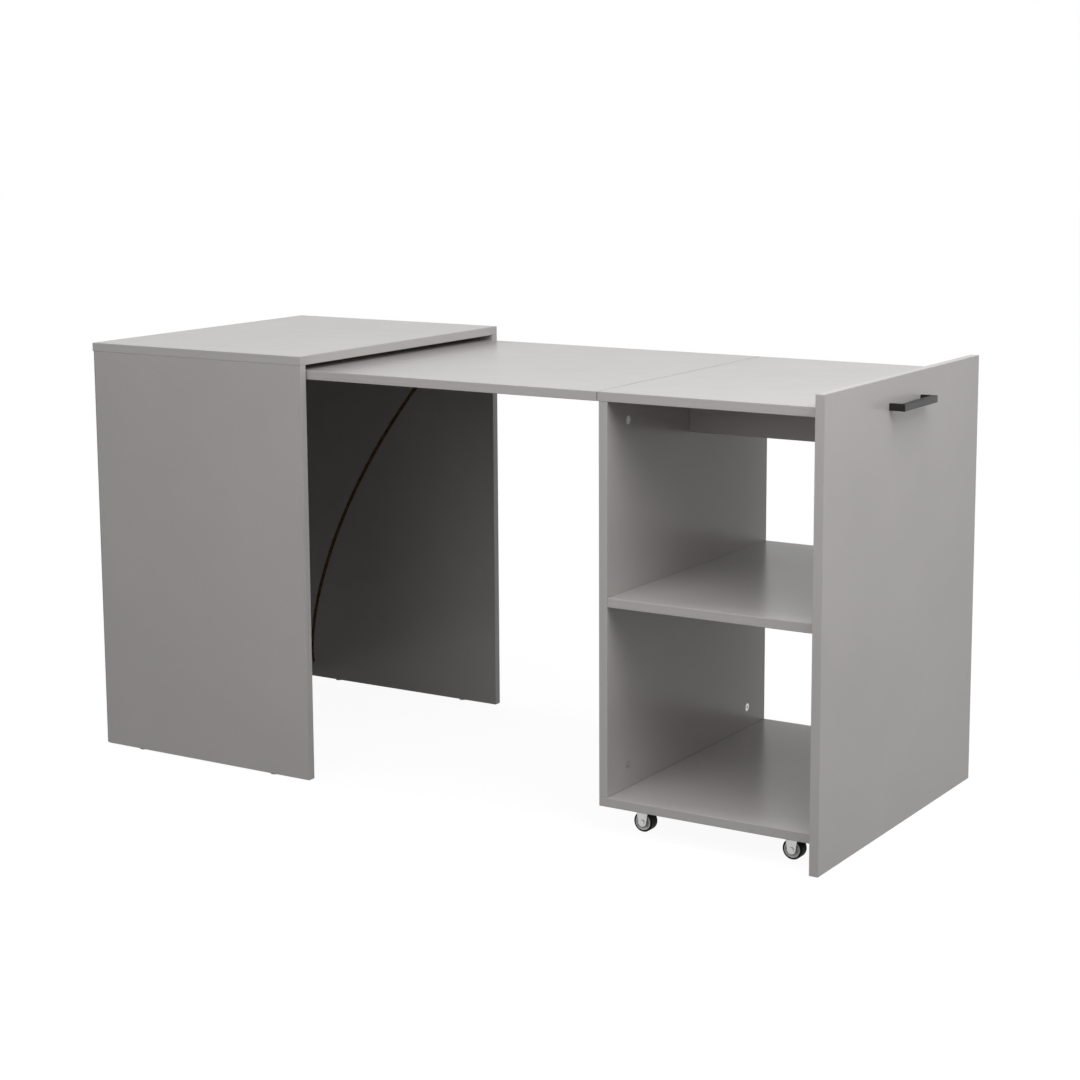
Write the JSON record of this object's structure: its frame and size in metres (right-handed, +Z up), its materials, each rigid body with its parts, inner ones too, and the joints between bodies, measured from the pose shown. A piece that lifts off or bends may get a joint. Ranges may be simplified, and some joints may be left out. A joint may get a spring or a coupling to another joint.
{
  "type": "extendable desk",
  "caption": "Board desk that pulls out of its own case: a wheeled shelf cart draws a hinged leaf up to desktop height, and rolls back in to close.",
  "frame": {"origin": "on the floor under the middle of the pulled-out desk", "axes": "+X along the desk towards the handle, +Y from the front to the rear, +Z up"},
  "size_m": [1.524, 0.63, 0.77],
  "materials": {
    "grey_board": "matt melamine",
    "back_board": "lacquered hardboard",
    "dowel_wood": "raw beech",
    "zinc_cast": "die-cast zinc alloy",
    "steel": "bright zinc plated",
    "handle_black": "satin",
    "wheel_grey": "moulded",
    "tyre_black": "matt",
    "glide_plastic": "moulded"
  },
  "bodies": {
    "cart": {"cart_bottom": "grey_board", "cart_cam_bolts": "steel", "cart_cams": "zinc_cast", "cart_dowels": "dowel_wood", "cart_end_panel": "grey_board", "cart_hinge_plate_front": "steel", "cart_hinge_plate_middle": "steel", "cart_hinge_plate_rear": "steel", "cart_hinge_screws": "steel", "cart_rail": "grey_board", "cart_shelf": "grey_board", "cart_side_panel": "grey_board", "cart_top": "grey_board", "caster_axle_front_left": "steel", "caster_axle_front_right": "steel", "caster_axle_rear_left": "steel", "caster_axle_rear_right": "steel", "caster_fork_front_left": "steel", "caster_fork_front_right": "steel", "caster_fork_rear_left": "steel", "caster_fork_rear_right": "steel", "caster_screws": "steel", "handle": "handle_black", "handle_screws": "steel", "hinge_pin_front": "steel", "hinge_pin_middle": "steel", "hinge_pin_rear": "steel"},
    "shell": {"glides_front": "glide_plastic", "glides_rear": "glide_plastic", "shell_back_board": "back_board", "shell_back_nails": "steel", "shell_cam_bolts": "steel", "shell_cams": "zinc_cast", "shell_dowels": "dowel_wood", "shell_front_panel": "grey_board", "shell_rear_panel": "grey_board", "shell_top": "grey_board"},
    "leaf": {"leaf_board": "grey_board", "leaf_guide_pin_front": "steel", "leaf_guide_pin_rear": "steel", "leaf_hinge_plate_front": "steel", "leaf_hinge_plate_middle": "steel", "leaf_hinge_plate_rear": "steel", "leaf_hinge_screws": "steel"},
    "wheel_front_left": {"wheel_core_front_left": "wheel_grey", "wheel_tyre_front_left": "tyre_black"},
    "wheel_front_right": {"wheel_core_front_right": "wheel_grey", "wheel_tyre_front_right": "tyre_black"},
    "wheel_rear_left": {"wheel_core_rear_left": "wheel_grey", "wheel_tyre_rear_left": "tyre_black"},
    "wheel_rear_right": {"wheel_core_rear_right": "wheel_grey", "wheel_tyre_rear_right": "tyre_black"}
  },
  "joints": [
    {"name": "cart_slide", "type": "slide", "parent": "shell", "child": "cart", "axis": [-1, 0, 0], "range_m": [0, 0.991]},
    {"name": "leaf_fold", "type": "hinge", "parent": "cart", "child": "leaf", "pos_m": [0.3188, 0, 0.7248], "axis": [0, -1, 0], "range_deg": [0, 85.5]},
    {"name": "wheel_spin_front_left", "type": "hinge", "parent": "cart", "child": "wheel_front_left", "pos_m": [0.3835, -0.245, 0.0175], "axis": [0, 1, 0], "continuous": true},
    {"name": "wheel_spin_front_right", "type": "hinge", "parent": "cart", "child": "wheel_front_right", "pos_m": [0.6595, -0.245, 0.0175], "axis": [0, 1, 0], "continuous": true},
    {"name": "wheel_spin_rear_left", "type": "hinge", "parent": "cart", "child": "wheel_rear_left", "pos_m": [0.3835, 0.236, 0.0175], "axis": [0, 1, 0], "continuous": true},
    {"name": "wheel_spin_rear_right", "type": "hinge", "parent": "cart", "child": "wheel_rear_right", "pos_m": [0.6595, 0.236, 0.0175], "axis": [0, 1, 0], "continuous": true}
  ],
  "couplings": [
    {"joint": "leaf_fold", "follows": "cart_slide", "rad_per_m": 1.5058}
  ]
}
